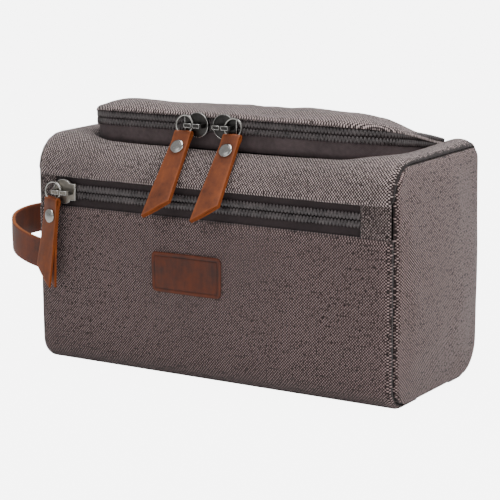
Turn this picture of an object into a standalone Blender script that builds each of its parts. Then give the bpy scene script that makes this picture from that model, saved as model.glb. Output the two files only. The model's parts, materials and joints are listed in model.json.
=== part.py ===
"""Canvas shaving kit bag: a box of canvas panels, a lid on a curved double zip, a zipped front pocket,
three zip sliders with rings and leather tabs, a leather patch and a leather side handle.

Metres, +Z up. The origin is the middle of the underside, the front faces -Y and the handle is at the -X end.
"""

from math import acos, asin, atan2, cos, hypot, pi, radians, sin, sqrt

import bmesh
import bpy
from mathutils import Matrix, Vector

# The bag's box, measured from seam to seam.
BAG_LENGTH = 0.252
BAG_DEPTH = 0.112
BAG_HEIGHT = 0.142
SHOULDER_RADIUS = 0.022
BASE_RADIUS = 0.014
BACK_TOP_RADIUS = 0.008
BASE_SEAM_SETBACK = 0.020
END_BULGE = 0.006

# Sheet thicknesses, and the gap that neighbouring pieces keep.
CANVAS = 0.0012
LINING = 0.0006
TAPE = 0.0006
BOARD = 0.0017
GAP = 0.0003

# The lid: a U in plan, hinged at the back and raised towards the front.
LID_HALF_WIDTH = 0.1085
LID_SETBACK = 0.020
LID_CORNER_RADIUS = 0.030
LID_FRONT_RISE = 0.0215
LID_HINGE_RISE = 0.0018
LID_CROWN = 0.0045
HINGE_SETBACK = 0.0097
BAND_DEPTH_IN_OPENING = 0.0025

# Zip chain: two rows of coil with a slit between them for the slider's post.
COIL_ROW = 0.0049
COIL_SLIT = 0.0010
COIL_THICKNESS = 0.0018
LID_CHAIN_DROP = 0.0072

# Front pocket: a slot across the front panel, its heights taken down from the top of the bag.
SLOT_TOP_DROP = 0.0210
SLOT_BOTTOM_DROP = 0.0415
POCKET_CHAIN_DROP = 0.0310
SLOT_LEFT_MARGIN = 0.0130
SLOT_RIGHT_MARGIN = 0.0204
POCKET_FLOOR = 0.018

# Slider: two wings joined by a post, with an arch over the outer wing.
SLIDER_LENGTH = 0.017
SLIDER_TAIL_HEIGHT = 0.0104
SLIDER_HEIGHT = 0.0155
WING = 0.0016
INNER_WING = 0.0008
INNER_WING_HEIGHT = 0.007
POST_LENGTH = 0.005
POST = 0.0005
ARCH_LENGTH = 0.0140
ARCH_WIDTH = 0.0026
ARCH_WALL = 0.0012
ARCH_WINDOW = 0.0044
THREAD_OFFSET = 0.0015

# Ring and leather tab.
RING_RADIUS = 0.0058
RING_WIRE_RADIUS = 0.0006
TAB_LENGTH = 0.0580
TAB_SHORT_SIDE = 0.0460
TAB_TOP_WIDTH = 0.0115
TAB_END_WIDTH = 0.0160
TAB_THICKNESS = 0.0034
NECK_WIDTH = 0.0050
NECK_LENGTH = 0.0045
NECK_BORE_RADIUS = 0.0018
NECK_WALL = 0.0011
RIVET_DROP = 0.0098
RIVET_HEAD_RADIUS = 0.0045
RIVET_BACK_RADIUS = 0.0035
RIVET_DOME = 0.0016
RIVET_BACK_HEAD = 0.0007
RIVET_SHANK_RADIUS = 0.0010
TAB_CLEARANCE = 0.00020765

# Where each pull sits at rest: slider centre along X, side that its ring hangs on, ring tilt from the vertical
# in degrees, turn of the tab about the vertical in degrees, and side of its longer edge. A lean is the hanging
# tab's angle from the vertical in degrees; the main tabs lean on the shoulder, so theirs follows from its shape.
LEFT_PULL = {"x": -0.0177, "side": -1, "tilt": 10.0, "turn": 0.0, "long_side": -1, "nose": 1}
RIGHT_PULL = {"x": 0.0029, "side": 1, "tilt": 10.0, "turn": 0.0, "long_side": -1, "nose": -1}
POCKET_PULL = {"x": -0.1045, "side": -1, "tilt": 6.0, "lean": 5.0, "turn": -16.0, "long_side": 1, "nose": -1}

# Leather patch and side handle.
PATCH_LENGTH = 0.050
PATCH_HEIGHT = 0.025
PATCH_THICKNESS = 0.0015
PATCH_CORNER_RADIUS = 0.003
PATCH_X = -0.014
PATCH_Z = 0.066
STRAP_WIDTH = 0.0195
STRAP_THICKNESS = 0.0026
STRAP_BOW = 0.048
STRAP_END_Y = 0.049
STRAP_END_Z = 0.068
STRAP_RISE = 0.010

# Places that follow from the sizes above.
FRONT_Y = -BAG_DEPTH / 2
SLOT_HIGH = BAG_HEIGHT - SLOT_TOP_DROP
SLOT_LOW = BAG_HEIGHT - SLOT_BOTTOM_DROP
POCKET_CHAIN_HEIGHT = BAG_HEIGHT - POCKET_CHAIN_DROP
SLOT_LEFT = -BAG_LENGTH / 2 + SLOT_LEFT_MARGIN
SLOT_RIGHT = BAG_LENGTH / 2 - SLOT_RIGHT_MARGIN
BACK_Y = BAG_DEPTH / 2
LID_FRONT_Y = FRONT_Y + LID_SETBACK
HINGE_Y = BACK_Y - HINGE_SETBACK
HINGE_Z = BAG_HEIGHT + LID_HINGE_RISE
PANEL_HALF_LENGTH = BAG_LENGTH / 2 - GAP
BAND_FOOT_Z = BAG_HEIGHT - BAND_DEPTH_IN_OPENING
LID_CHAIN_Z = BAG_HEIGHT + LID_FRONT_RISE - LID_CHAIN_DROP


def clear_scene():
    for item in list(bpy.data.objects):
        bpy.data.objects.remove(item, do_unlink=True)


clear_scene()
parts = bpy.data.collections.new("shaving_kit_bag")
bpy.context.scene.collection.children.link(parts)
cutters = bpy.data.collections.new("cutters")
bpy.context.scene.collection.children.link(cutters)


def material(name, color, roughness, metallic=0.0):
    finish = bpy.data.materials.new(name)
    finish.use_nodes = True
    shader = finish.node_tree.nodes["Principled BSDF"]
    shader.inputs["Base Color"].default_value = (*color, 1.0)
    shader.inputs["Roughness"].default_value = roughness
    shader.inputs["Metallic"].default_value = metallic
    finish.diffuse_color = (*color, 1.0)
    return finish


CANVAS_FRONT = material("canvas_front", (0.105, 0.083, 0.080), 0.92)
CANVAS_END = material("canvas_end", (0.175, 0.142, 0.140), 0.92)
CANVAS_LID = material("canvas_lid", (0.240, 0.205, 0.200), 0.92)
LINING_CLOTH = material("lining_cloth", (0.060, 0.055, 0.052), 0.80)
ZIP_TAPE = material("zip_tape", (0.062, 0.050, 0.051), 0.85)
ZIP_COIL = material("zip_coil", (0.030, 0.026, 0.026), 0.45)
SLIDER_METAL = material("slider_metal", (0.080, 0.078, 0.072), 0.32, 1.0)
RING_METAL = material("ring_metal", (0.200, 0.195, 0.185), 0.25, 1.0)
RIVET_METAL = material("rivet_metal", (0.620, 0.600, 0.570), 0.18, 1.0)
TAB_LEATHER = material("tab_leather", (0.205, 0.068, 0.030), 0.55)
PATCH_LEATHER = material("patch_leather", (0.105, 0.028, 0.012), 0.60)
STRAP_LEATHER = material("strap_leather", (0.185, 0.072, 0.036), 0.58)
FIBRE_BOARD = material("fibre_board", (0.300, 0.240, 0.170), 0.90)


def place(name, mesh, finish, parent=None, location=(0, 0, 0), rotation=(0, 0, 0), collection=None):
    item = bpy.data.objects.new(name, mesh)
    if finish and not mesh.materials:
        mesh.materials.append(finish)
    (collection or parts).objects.link(item)
    item.parent = parent
    item.location = location
    item.rotation_euler = rotation
    return item


def cutter(name, mesh, parent=None, location=(0, 0, 0), rotation=(0, 0, 0)):
    item = place(name, mesh, None, parent, location, rotation, cutters)
    item.hide_render = True
    item.display_type = "WIRE"
    return item


def boolean(item, operand, operation="DIFFERENCE"):
    step = item.modifiers.new(f"{operation.lower()} {operand.name}", "BOOLEAN")
    step.operation = operation
    step.object = operand
    step.solver = "EXACT"


def thicken(item, thickness, offset=-1.0):
    wall = item.modifiers.new("sheet thickness", "SOLIDIFY")
    wall.thickness = thickness
    wall.offset = offset


def shade(mesh, angle=35.0):
    mesh.shade_smooth()
    mesh.set_sharp_from_angle(angle=radians(angle))


def ruled_mesh(name, first_row, second_row):
    """An open surface lofted between two rows of matching points."""
    mesh = bpy.data.meshes.new(name)
    count = len(first_row)
    faces = [(i, i + 1, count + i + 1, count + i) for i in range(count - 1)]
    mesh.from_pydata([*first_row, *second_row], [], faces)
    shade(mesh)
    return mesh


def profile_panel(name, profile, thickness, finish, left=-PANEL_HALF_LENGTH, right=PANEL_HALF_LENGTH):
    """A sheet with one (y, z) profile along X; the profile runs down the front and up the back."""
    rows = [[(x, y, z) for y, z in profile] for x in (left, right)]
    item = place(name, ruled_mesh(name, *rows), finish)
    thicken(item, thickness)
    return item


def arc(centre_y, centre_z, radius, start, end, steps=6):
    angles = [radians(start + (end - start) * i / steps) for i in range(steps + 1)]
    return [(centre_y + radius * cos(a), centre_z + radius * sin(a)) for a in angles]


def grid_panel(name, point, columns, rows, thickness, finish):
    """A sheet whose point(a, b) gives its outer face for a and b from -1 to 1."""
    grid = bmesh.new()
    bmesh.ops.create_grid(grid, x_segments=columns, y_segments=rows, size=1.0)
    for vertex in grid.verts:
        vertex.co = Vector(point(vertex.co.x, vertex.co.y))
    mesh = bpy.data.meshes.new(name)
    grid.to_mesh(mesh)
    grid.free()
    shade(mesh)
    item = place(name, mesh, finish)
    thicken(item, thickness)
    return item


def box_mesh(name, size, centre=(0, 0, 0)):
    cube = bmesh.new()
    bmesh.ops.create_cube(cube, size=1.0)
    bmesh.ops.scale(cube, vec=size, verts=cube.verts)
    bmesh.ops.translate(cube, vec=centre, verts=cube.verts)
    mesh = bpy.data.meshes.new(name)
    cube.to_mesh(mesh)
    cube.free()
    return mesh


def rod_mesh(name, radius, length, axis, sides=24):
    """A cylinder centred on the origin along X, Y or Z."""
    turns = {"X": Matrix.Rotation(pi / 2, 4, "Y"), "Y": Matrix.Rotation(pi / 2, 4, "X"), "Z": Matrix()}
    rod = bmesh.new()
    bmesh.ops.create_cone(rod, cap_ends=True, segments=sides, radius1=radius, radius2=radius, depth=length,
                          matrix=turns[axis])
    mesh = bpy.data.meshes.new(name)
    rod.to_mesh(mesh)
    rod.free()
    return mesh


def plate_mesh(name, outline, thickness):
    """A flat plate standing in the XZ plane, from an outline of (x, z) points."""
    curve = bpy.data.curves.new(name, "CURVE")
    curve.dimensions = "2D"
    curve.fill_mode = "BOTH"
    curve.extrude = thickness / 2
    spline = curve.splines.new("POLY")
    spline.points.add(len(outline) - 1)
    for point, (x, z) in zip(spline.points, outline):
        point.co = (x, z, 0.0, 1.0)
    spline.use_cyclic_u = True
    drawn = bpy.data.objects.new(name, curve)
    bpy.context.scene.collection.objects.link(drawn)
    evaluated = drawn.evaluated_get(bpy.context.evaluated_depsgraph_get())
    mesh = bpy.data.meshes.new_from_object(evaluated)
    bpy.data.objects.remove(drawn, do_unlink=True)
    welded = bmesh.new()
    welded.from_mesh(mesh)
    bmesh.ops.remove_doubles(welded, verts=welded.verts, dist=0.000001)
    bmesh.ops.rotate(welded, matrix=Matrix.Rotation(pi / 2, 3, "X"), verts=welded.verts)
    welded.to_mesh(mesh)
    welded.free()
    mesh.materials.clear()
    return mesh


def rounded_outline(length, height, radius, steps=5):
    outline = []
    for quarter, (sx, sz) in enumerate([(1, 1), (-1, 1), (-1, -1), (1, -1)]):
        for i in range(steps + 1):
            angle = pi / 2 * (quarter + i / steps)
            outline.append((sx * (length / 2 - radius) + radius * cos(angle),
                            sz * (height / 2 - radius) + radius * sin(angle)))
    return outline


# --- Body panels -------------------------------------------------------------------------------------------

def front_edge_y(z):
    """The front outline of the bag's end at height z."""
    if z < BASE_RADIUS:
        return FRONT_Y + BASE_RADIUS - sqrt(max(BASE_RADIUS**2 - (BASE_RADIUS - z)**2, 0.0))
    above = z - (BAG_HEIGHT - SHOULDER_RADIUS)
    if above > 0:
        return FRONT_Y + SHOULDER_RADIUS - sqrt(max(SHOULDER_RADIUS**2 - above**2, 0.0))
    return FRONT_Y


def back_edge_y(z):
    """The back outline of the bag's end at height z."""
    if z < BASE_RADIUS:
        return BACK_Y - BASE_RADIUS + sqrt(max(BASE_RADIUS**2 - (BASE_RADIUS - z)**2, 0.0))
    above = z - (BAG_HEIGHT - BACK_TOP_RADIUS)
    if above > 0:
        return BACK_Y - BACK_TOP_RADIUS + sqrt(max(BACK_TOP_RADIUS**2 - above**2, 0.0))
    return BACK_Y


def body_panels():
    seam_y = BACK_Y - BASE_RADIUS - BASE_SEAM_SETBACK
    front = [(FRONT_Y, SLOT_LOW), *arc(FRONT_Y + BASE_RADIUS, BASE_RADIUS, BASE_RADIUS, 180, 270),
             (-seam_y - GAP / 2, 0.0)]
    profile_panel("front_panel", front, CANVAS, CANVAS_FRONT)
    profile_panel("bottom_panel", [(-seam_y + GAP / 2, 0.0), (seam_y - GAP / 2, 0.0)], CANVAS, CANVAS_FRONT)
    back = [(seam_y + GAP / 2, 0.0), *arc(BACK_Y - BASE_RADIUS, BASE_RADIUS, BASE_RADIUS, 270, 360),
            *arc(BACK_Y - BACK_TOP_RADIUS, BAG_HEIGHT - BACK_TOP_RADIUS, BACK_TOP_RADIUS, 0, 90, 4),
            (HINGE_Y + GAP, BAG_HEIGHT)]
    profile_panel("back_panel", back, CANVAS, CANVAS_FRONT)


def end_panel(name, side):
    def point(a, b):
        z = BAG_HEIGHT * (1 + sin(b * pi / 2)) / 2
        across = side * sin(a * pi / 2)
        y = front_edge_y(z) + (back_edge_y(z) - front_edge_y(z)) * (1 + across) / 2
        swell = END_BULGE * (1 - abs(across)**2.5) * (1 - abs(sin(b * pi / 2))**2.5)
        return side * (BAG_LENGTH / 2 + CANVAS + swell), y, z

    grid_panel(name, point, 14, 16, CANVAS, CANVAS_END)


def lid_outline(inset=0.0, back_y=HINGE_Y, steps=8):
    """The lid's plan from its left back corner, round the front, to its right back corner."""
    half_width = LID_HALF_WIDTH - inset
    front_y = LID_FRONT_Y + inset
    radius = LID_CORNER_RADIUS - inset
    side_y = front_y + radius
    run = [back_y + (side_y - back_y) * i / 4 for i in range(4)]
    left = [(-half_width, y) for y in run]
    for i in range(steps + 1):
        angle = pi + pi / 2 * i / steps
        left.append((radius - half_width + radius * cos(angle), side_y + radius * sin(angle)))
    middle = [(x * (half_width - radius), front_y) for x in (-0.6, -0.2, 0.2, 0.6)]
    right = [(-x, y) for x, y in reversed(left)]
    return [*left, *middle, *right]


def shoulder_panel():
    curve = arc(FRONT_Y + SHOULDER_RADIUS, BAG_HEIGHT - SHOULDER_RADIUS, SHOULDER_RADIUS, 90, 180, 8)
    above_slot = [(y, z) for y, z in curve if z > SLOT_HIGH + GAP]
    profile = [(HINGE_Y, BAG_HEIGHT), *above_slot, (front_edge_y(SLOT_HIGH), SLOT_HIGH)]
    panel = profile_panel("shoulder_panel", profile, CANVAS, CANVAS_FRONT)
    past_back = [(x, min(y, HINGE_Y) if y < HINGE_Y else HINGE_Y + 0.02) for x, y in lid_outline()]
    rows = [[(x, y, z) for x, y in past_back] for z in (BAG_HEIGHT - 0.02, BAG_HEIGHT + 0.02)]
    mesh = ruled_mesh("lid_opening", *rows)
    closed = bmesh.new()
    closed.from_mesh(mesh)
    bmesh.ops.contextual_create(closed, geom=[e for e in closed.edges if e.is_boundary
                                              and abs(e.verts[0].co.x + e.verts[1].co.x) < 0.0001
                                              and e.calc_length() > LID_HALF_WIDTH])
    bmesh.ops.holes_fill(closed, edges=[e for e in closed.edges if e.is_boundary], sides=0)
    bmesh.ops.recalc_face_normals(closed, faces=closed.faces)
    closed.to_mesh(mesh)
    closed.free()
    boolean(panel, cutter("lid_opening", mesh))


# --- Lid ---------------------------------------------------------------------------------------------------

def lid_rim_z(y):
    """Height of the lid's upper edge at depth y."""
    share = (y - LID_FRONT_Y) / (HINGE_Y - LID_FRONT_Y)
    return BAG_HEIGHT + LID_FRONT_RISE + (LID_HINGE_RISE - LID_FRONT_RISE) * share


def lid_sheet(name, inset, drop, thickness, finish):
    front_y = LID_FRONT_Y + inset
    back_y = HINGE_Y - (inset * 0.25)
    half_width = LID_HALF_WIDTH - inset
    radius = LID_CORNER_RADIUS - inset

    def point(a, b):
        y = front_y + (back_y - front_y) * (1 - cos(pi / 4 * (1 + b)))
        before_side = max(front_y + radius - y, 0.0)
        reach = half_width - radius + sqrt(max(radius**2 - before_side**2, 0.0))
        across = sin(a * pi / 2)
        depth = (y - LID_FRONT_Y) / (HINGE_Y - LID_FRONT_Y)
        width = reach * across / LID_HALF_WIDTH
        crown = LID_CROWN * (1 - (1 - depth)**12) * (1 - depth**4) * (1 - abs(width)**14)
        return reach * across, y, lid_rim_z(y) + crown - drop

    return grid_panel(name, point, 18, 14, thickness, finish)


def chain_top_z(y):
    """Height of the top of the lid's zip chain at depth y."""
    return lid_rim_z(y) - CANVAS - 2 * GAP


def band_strip(name, inset, thickness, low, high, finish):
    """A strip round the lid; low and high are heights at the front, and shrink with the band to the back."""
    full = chain_top_z(LID_FRONT_Y) - BAND_FOOT_Z

    def level(height, y):
        return BAND_FOOT_Z + (chain_top_z(y) - BAND_FOOT_Z) * (height - BAND_FOOT_Z) / full

    plan = lid_outline(inset, HINGE_Y - GAP)
    edge = lid_outline(0.0, HINGE_Y - GAP)
    rows = [[(x, y, level(height, edge_y)) for (x, y), (_, edge_y) in zip(plan, edge)] for height in (low, high)]
    item = place(name, ruled_mesh(name, *rows), finish)
    thicken(item, thickness)


def lid_and_band():
    lid_sheet("lid_panel", 0.0, 0.0, CANVAS, CANVAS_LID)
    lid_sheet("lid_lining", 0.0055, CANVAS + 0.0011, LINING, LINING_CLOTH)
    slit_low = LID_CHAIN_Z - COIL_SLIT / 2
    slit_high = LID_CHAIN_Z + COIL_SLIT / 2
    tape_inset = 2 * GAP + COIL_THICKNESS
    band_strip("main_zip_lower_coil", GAP, COIL_THICKNESS, slit_low - COIL_ROW, slit_low, ZIP_COIL)
    band_strip("main_zip_upper_coil", GAP, COIL_THICKNESS, slit_high, slit_high + COIL_ROW, ZIP_COIL)
    band_strip("main_zip_lower_tape", tape_inset, TAPE, BAND_FOOT_Z, slit_low, ZIP_TAPE)
    band_strip("main_zip_upper_tape", tape_inset, TAPE, slit_high, slit_high + COIL_ROW, ZIP_TAPE)


# --- Linings, board and front pocket -----------------------------------------------------------------------

def inner_layers():
    pocket_y = FRONT_Y + CANVAS + TAPE + INNER_WING + 4 * GAP
    lining_front = pocket_y + LINING + 2 * GAP
    lining_back = BACK_Y - CANVAS - GAP
    lining_low = CANVAS + BOARD + 3 * GAP
    shoulder_reach = SHOULDER_RADIUS - CANVAS - GAP
    from_centre = FRONT_Y + SHOULDER_RADIUS - lining_front
    lining_high = BAG_HEIGHT - SHOULDER_RADIUS + sqrt(shoulder_reach**2 - from_centre**2) - GAP
    profile_panel("pocket_lining", [(pocket_y, SLOT_HIGH), (pocket_y, POCKET_FLOOR)], LINING, LINING_CLOTH,
                  -PANEL_HALF_LENGTH + CANVAS, PANEL_HALF_LENGTH - CANVAS)

    size = (2 * (PANEL_HALF_LENGTH - CANVAS), lining_back - lining_front, lining_high - lining_low)
    centre = (0, (lining_back + lining_front) / 2, (lining_high + lining_low) / 2)
    mesh = box_mesh("main_lining", size, centre)
    bag = bmesh.new()
    bag.from_mesh(mesh)
    top = [f for f in bag.faces if f.normal.z > 0.5]
    bmesh.ops.delete(bag, geom=top, context="FACES_ONLY")
    long_edges = [e for e in bag.edges if not e.is_boundary and abs(e.verts[0].co.x - e.verts[1].co.x) > 0.01]
    bmesh.ops.bevel(bag, geom=long_edges, offset=BASE_RADIUS - CANVAS - BOARD, segments=4, affect="EDGES",
                    profile=0.5)
    bag.to_mesh(mesh)
    bag.free()
    thicken(place("main_lining", mesh, LINING_CLOTH), LINING)

    board_size = (2 * (PANEL_HALF_LENGTH - 2 * CANVAS), BAG_DEPTH - 2 * BASE_RADIUS, BOARD)
    board_z = CANVAS + GAP + BOARD / 2
    place("base_board", box_mesh("base_board", board_size, (0, 0, board_z)), FIBRE_BOARD)


def pocket_zip():
    slit_low = POCKET_CHAIN_HEIGHT - COIL_SLIT / 2
    slit_high = POCKET_CHAIN_HEIGHT + COIL_SLIT / 2
    tape_y = FRONT_Y + CANVAS + GAP
    coil_y = tape_y - GAP - COIL_THICKNESS
    tape_reach = 0.0022
    strips = [("pocket_zip_lower_coil", coil_y, COIL_THICKNESS, slit_low - COIL_ROW, slit_low, ZIP_COIL),
              ("pocket_zip_upper_coil", coil_y, COIL_THICKNESS, slit_high, slit_high + COIL_ROW, ZIP_COIL),
              ("pocket_zip_lower_tape", tape_y, TAPE, SLOT_LOW - tape_reach, slit_low, ZIP_TAPE),
              ("pocket_zip_upper_tape", tape_y, TAPE, slit_high, SLOT_HIGH + tape_reach, ZIP_TAPE)]
    for name, y, thickness, low, high, finish in strips:
        profile_panel(name, [(y, high), (y, low)], thickness, finish, SLOT_LEFT + GAP, SLOT_RIGHT - GAP)
    tab_profile = [(front_edge_y(z), z) for z in (SLOT_HIGH - GAP, SLOT_LOW + GAP)]
    profile_panel("pocket_end_tab_left", tab_profile, CANVAS, CANVAS_FRONT, -PANEL_HALF_LENGTH, SLOT_LEFT)
    profile_panel("pocket_end_tab_right", tab_profile, CANVAS, CANVAS_FRONT, SLOT_RIGHT, PANEL_HALF_LENGTH)


# --- Sliders and pulls -------------------------------------------------------------------------------------

def wing_outline():
    """The outer wing: a straight tail and a round-crested nose towards +X."""
    tail = SLIDER_TAIL_HEIGHT / 2
    crest = SLIDER_HEIGHT / 2
    crest_x = 0.06 * SLIDER_LENGTH
    flare_x = -0.24 * SLIDER_LENGTH
    upper = [(-SLIDER_LENGTH / 2, tail), (flare_x, tail)]
    for i in range(1, 5):
        share = i / 4
        x = flare_x + (crest_x - flare_x) * share
        upper.append((x, tail + (crest - tail) * (1 - cos(pi * share)) / 2))
    for i in range(1, 6):
        angle = pi / 2 * i / 6
        x = crest_x + (SLIDER_LENGTH / 2 - crest_x) * sin(angle)
        upper.append((x, crest * cos(angle)))
    return [*upper, (SLIDER_LENGTH / 2, 0.0), *[(x, -z) for x, z in reversed(upper)]]


def arch_outline():
    """The arch in plan: x along the slider and depth away from it, with rounded shoulders."""
    outer = ARCH_LENGTH / 2
    height = ARCH_WINDOW + ARCH_WALL
    sunk = -GAP
    chamfer = ARCH_WALL
    half = [(outer, sunk), (outer, height - 1.6 * chamfer), (outer - 0.5 * chamfer, height - 0.5 * chamfer),
            (outer - 1.6 * chamfer, height)]
    inner = [(outer - ARCH_WALL, sunk), (outer - ARCH_WALL, ARCH_WINDOW - chamfer),
             (outer - ARCH_WALL - chamfer, ARCH_WINDOW)]
    return [*half, *[(-x, d) for x, d in reversed(half)], *[(-x, d) for x, d in inner], *reversed(inner)]


def slider_mesh(chain_thickness):
    """One slider, nose towards +X; its origin is on the chain's outer face and -Y points outwards."""
    wing_y = -2 * GAP - WING / 2
    body = cutter(f"slider_blank_{chain_thickness:.4f}", plate_mesh("outer_wing", wing_outline(), WING),
                  location=(0, wing_y, 0))
    inner_y = chain_thickness + GAP + INNER_WING / 2
    inner = rounded_outline(SLIDER_LENGTH * 0.8, INNER_WING_HEIGHT, 0.0015)
    inner_wing = cutter("inner_wing", plate_mesh("inner_wing", inner, INNER_WING), location=(0, inner_y, 0))
    post_depth = inner_y - wing_y
    post = cutter("post", box_mesh("post", (POST_LENGTH, post_depth, POST)),
                  location=(0, (inner_y + wing_y) / 2, 0))
    arch = plate_mesh("arch", arch_outline(), ARCH_WIDTH)
    arch.transform(Matrix.Rotation(pi / 2, 4, "X"))
    arch_part = cutter("arch", arch, location=(0, -2 * GAP - WING, 0))
    for operand in (post, inner_wing, arch_part):
        boolean(body, operand, "UNION")
    bpy.context.view_layer.update()
    evaluated = body.evaluated_get(bpy.context.evaluated_depsgraph_get())
    mesh = bpy.data.meshes.new_from_object(evaluated)
    mesh.transform(Matrix.Translation((0, wing_y, 0)))
    mesh.materials.clear()
    mesh.materials.append(SLIDER_METAL)
    shade(mesh)
    for item in (body, post, inner_wing, arch_part):
        bpy.data.objects.remove(item, do_unlink=True)
    return mesh


def ring_mesh(side):
    """A wire ring in the XZ plane that passes through the origin at its inner side."""
    ring = bmesh.new()
    around, section = 36, 8
    loops = []
    for i in range(around):
        turn = 2 * pi * i / around
        out = Vector((cos(turn), 0, sin(turn)))
        centre = out * RING_RADIUS + Vector((side * RING_RADIUS, 0, 0))
        angles = [2 * pi * j / section for j in range(section)]
        loops.append([ring.verts.new(centre + (out * cos(a) + Vector((0, 1, 0)) * sin(a)) * RING_WIRE_RADIUS)
                      for a in angles])
    for i in range(around):
        for j in range(section):
            here, there = loops[i], loops[(i + 1) % around]
            ring.faces.new((here[j], here[(j + 1) % section], there[(j + 1) % section], there[j]))
    bmesh.ops.recalc_face_normals(ring, faces=ring.faces)
    mesh = bpy.data.meshes.new("ring")
    ring.to_mesh(mesh)
    ring.free()
    mesh.shade_smooth()
    return mesh


def tab_outline(long_side):
    """The doubled leather below the neck: it widens to a slanted end."""
    top = TAB_TOP_WIDTH / 2
    end = TAB_END_WIDTH / 2
    short = TAB_END_WIDTH / 2 - (TAB_END_WIDTH - TAB_TOP_WIDTH) / 2 * (TAB_LENGTH - TAB_SHORT_SIDE) / TAB_LENGTH
    left_end = (-end, -TAB_LENGTH) if long_side < 0 else (-short, -TAB_SHORT_SIDE)
    right_end = (end, -TAB_LENGTH) if long_side > 0 else (short, -TAB_SHORT_SIDE)
    shoulder = -NECK_LENGTH - (TAB_TOP_WIDTH - NECK_WIDTH) / 2
    return [(NECK_WIDTH / 2, -NECK_LENGTH), (-NECK_WIDTH / 2, -NECK_LENGTH), (-top, shoulder), left_end,
            right_end, (top, shoulder)]


def tab(name, parent, location, rotation, long_side):
    leather = place(name, plate_mesh(name, tab_outline(long_side), TAB_THICKNESS), TAB_LEATHER, parent,
                    location, rotation)
    loop_radius = NECK_BORE_RADIUS + NECK_WALL
    loop = cutter(f"{name}_loop", rod_mesh(f"{name}_loop", loop_radius, NECK_WIDTH, "X"), leather)
    neck_height = NECK_LENGTH + 0.001
    neck = cutter(f"{name}_neck", box_mesh(f"{name}_neck", (NECK_WIDTH, TAB_THICKNESS, neck_height),
                                           (0, 0, -neck_height / 2)), leather)
    bore = cutter(f"{name}_bore", rod_mesh(f"{name}_bore", NECK_BORE_RADIUS, NECK_WIDTH * 2, "X"), leather)
    hole_radius = RIVET_SHANK_RADIUS + GAP
    hole = cutter(f"{name}_rivet_hole", rod_mesh(f"{name}_rivet_hole", hole_radius, TAB_THICKNESS * 3, "Y", 16),
                  leather, (0, 0, -RIVET_DROP))
    boolean(leather, neck, "UNION")
    boolean(leather, loop, "UNION")
    boolean(leather, bore)
    boolean(leather, hole)
    return leather


def rivet(name, leather):
    """Turned about its own Z, which points out of the tab's front."""
    front = TAB_THICKNESS / 2 + GAP
    back = -front
    dome = [(RIVET_HEAD_RADIUS * sin(pi / 2 * i / 5), front + 0.0003 + (RIVET_DOME - 0.0003) * cos(pi / 2 * i / 5))
            for i in range(6)]
    profile = [*dome, (RIVET_HEAD_RADIUS, front), (RIVET_SHANK_RADIUS, front), (RIVET_SHANK_RADIUS, back),
               (RIVET_BACK_RADIUS, back), (RIVET_BACK_RADIUS, back - RIVET_BACK_HEAD), (0.0, back - RIVET_BACK_HEAD)]
    mesh = bpy.data.meshes.new(name)
    mesh.from_pydata([(r, 0, z) for r, z in profile], [(i, i + 1) for i in range(len(profile) - 1)], [])
    item = place(name, mesh, RIVET_METAL, leather, (0, 0, -RIVET_DROP), (pi / 2, 0, 0))
    turning = item.modifiers.new("turned", "SCREW")
    turning.steps = 24
    turning.render_steps = 24
    turning.use_merge_vertices = True
    turning.merge_threshold = 0.00001
    turning.use_smooth_shade = True


def lean_on_shoulder(hang_y, hang_z):
    """Angle from the vertical of a tab hung at this point, so that it and its rivet just clear the shoulder."""
    centre_y = FRONT_Y + SHOULDER_RADIUS
    centre_z = BAG_HEIGHT - SHOULDER_RADIUS
    reach = hypot(hang_y - centre_y, hang_z - centre_z)
    to_centre = asin((hang_y - centre_y) / reach)
    leather = asin((SHOULDER_RADIUS + TAB_THICKNESS / 2 + TAB_CLEARANCE) / reach)
    down = RIVET_DROP + RIVET_BACK_RADIUS
    behind = TAB_THICKNESS / 2 + GAP + RIVET_BACK_HEAD
    corner = hypot(down, behind)
    kept = SHOULDER_RADIUS + GAP
    rivet_head = atan2(behind, down) + acos((corner**2 + reach**2 - kept**2) / (2 * corner * reach))
    return max(leather, rivet_head) + to_centre


def pull(prefix, mesh, place_on_chain, setting):
    """One slider with its ring and tab. Ring and tab have their origins on their own hinge axes."""
    _, chain_y, chain_z = place_on_chain
    turned = 0.0 if setting["nose"] > 0 else pi
    slider = place(f"{prefix}_slider", mesh, SLIDER_METAL, None, (setting["x"], chain_y, chain_z), (0, turned, 0))
    thread_x = setting["x"] + setting["side"] * THREAD_OFFSET
    thread_y = chain_y - 2 * GAP - WING - ARCH_WINDOW / 2
    ring = place(f"{prefix}_ring", ring_mesh(setting["side"]), RING_METAL, None,
                 (thread_x, thread_y, chain_z), (-radians(setting["tilt"]), 0, 0))
    tilt = radians(setting["tilt"])
    lean = radians(setting["lean"]) if "lean" in setting else lean_on_shoulder(
        thread_y - RING_RADIUS * sin(tilt), chain_z - RING_RADIUS * cos(tilt))
    bend = lean - tilt
    leather = tab(f"{prefix}_tab", ring, (setting["side"] * RING_RADIUS, 0, -RING_RADIUS),
                  (-bend, 0, radians(setting["turn"])), setting["long_side"])
    rivet(f"{prefix}_rivet", leather)
    return slider


def sliders():
    main_mesh = slider_mesh(COIL_THICKNESS + GAP + TAPE)
    main_place = (0, LID_FRONT_Y + GAP, LID_CHAIN_Z)
    pull("main_left", main_mesh, main_place, LEFT_PULL)
    pull("main_right", main_mesh, main_place, RIGHT_PULL)
    pocket_place = (0, FRONT_Y + CANVAS - COIL_THICKNESS, POCKET_CHAIN_HEIGHT)
    pull("pocket", main_mesh, pocket_place, POCKET_PULL)


# --- Leather patch and handle ------------------------------------------------------------------------------

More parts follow.
